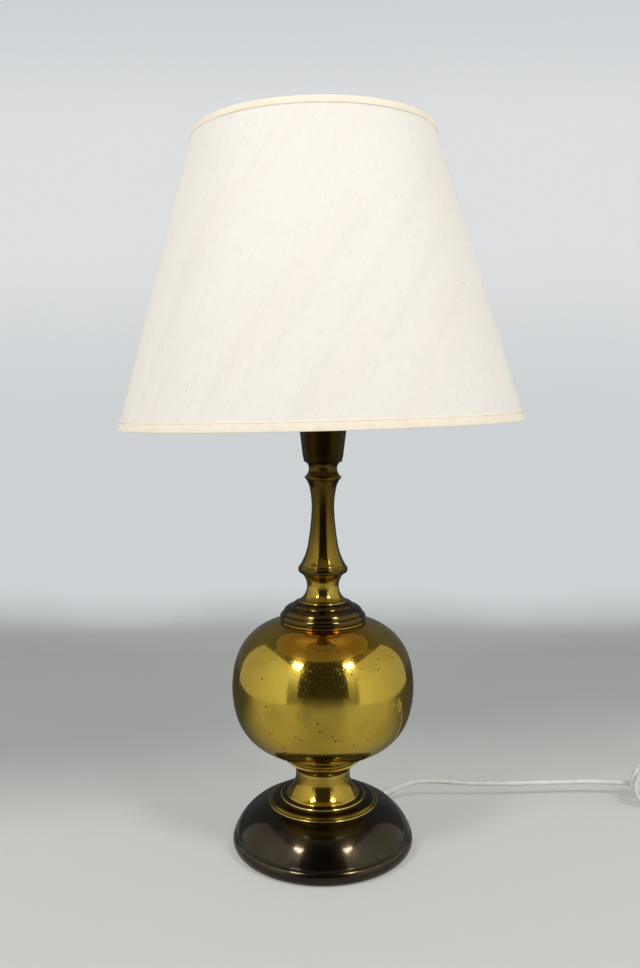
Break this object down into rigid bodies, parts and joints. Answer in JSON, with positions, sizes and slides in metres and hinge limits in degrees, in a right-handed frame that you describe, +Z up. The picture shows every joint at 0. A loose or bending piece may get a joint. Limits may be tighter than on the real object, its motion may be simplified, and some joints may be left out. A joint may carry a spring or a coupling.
{
  "type": "table lamp",
  "caption": "Table lamp with a turned domed foot, round body and slim column, a tapered fabric shade and a mains cord tied in a hank.",
  "frame": {"origin": "centre of the underside, on the surface that the lamp stands on", "axes": "+Z up along the column, +Y away from the viewer of the picture, +X to the right in it"},
  "size_m": [0.7741, 0.4, 0.7273],
  "materials": {
    "ball_brass": "polished warm brass with fine scratches and pits",
    "patina_brass": "dark brown patina with a soft sheen",
    "gold_brass": "antique gold brass, soft polish",
    "antique_brass": "mid dark antique brass with gold edges",
    "iron": "raw casting",
    "zinc_steel": "zinc plated",
    "white_steel": "white powder coat",
    "felt": "green felt",
    "card": "black fibre board",
    "black_plastic": "black moulded resin",
    "white_plastic": "white moulded plastic",
    "white_cord": "white flexible sheath",
    "shade_fabric": "off-white slub fabric on a stiff lining",
    "shade_trim": "pale cream bias tape",
    "bulb_glass": "pearl",
    "bulb_metal": "bright",
    "bulb_black": "black glass insulator"
  },
  "bodies": {
    "lamp": {"base_foot": "patina_brass", "base_felt": "felt", "base_plate": "card", "base_weight": "iron", "base_washer": "zinc_steel", "base_nut": "zinc_steel", "lamp_rod": "zinc_steel", "cup_nut": "zinc_steel", "foot_ring": "gold_brass", "foot_neck": "gold_brass", "ball_saucer": "gold_brass", "ball_body": "ball_brass", "ball_cap": "patina_brass", "column_stem": "antique_brass", "column_knob": "gold_brass", "column_shaft": "antique_brass", "column_cove": "antique_brass", "socket_cup": "patina_brass", "holder_cap": "black_plastic", "holder_sleeve": "black_plastic", "holder_block": "white_plastic", "screw_shell": "gold_brass", "contact_tongue": "gold_brass", "terminal_screws": "gold_brass", "shade_rest_ring": "black_plastic", "cord_bush": "white_plastic", "cord_inner": "white_cord", "cord_free": "white_cord", "cord_hank": "white_cord", "hank_tie": "white_plastic", "cord_tail": "white_cord", "plug_relief": "white_plastic", "plug_body": "white_plastic", "plug_pins": "bulb_metal"},
    "bulb": {"bulb_contact": "bulb_metal", "bulb_insulator": "bulb_black", "bulb_cap": "bulb_metal", "bulb_glass": "bulb_glass", "bulb_mount": "bulb_glass", "bulb_filament": "bulb_metal"},
    "clamp_ring": {"shade_clamp_ring": "black_plastic"},
    "shade": {"shade_panel": "shade_fabric", "trim_bottom": "shade_trim", "trim_top": "shade_trim", "shade_top_wire": "white_steel", "shade_bottom_wire": "white_steel", "shade_spider": "white_steel"}
  },
  "joints": [
    {"name": "bulb_lift", "type": "slide", "parent": "lamp", "child": "bulb", "axis": [0, 0, 1], "range_m": [0, 0.045]},
    {"name": "shade_lift", "type": "slide", "parent": "lamp", "child": "clamp_ring", "axis": [0, 0, 1], "range_m": [0, 0.02]},
    {"name": "shade_turn", "type": "hinge", "parent": "clamp_ring", "child": "shade", "pos_m": [0, 0, 0.4563], "axis": [0, 0, 1], "continuous": true}
  ]
}
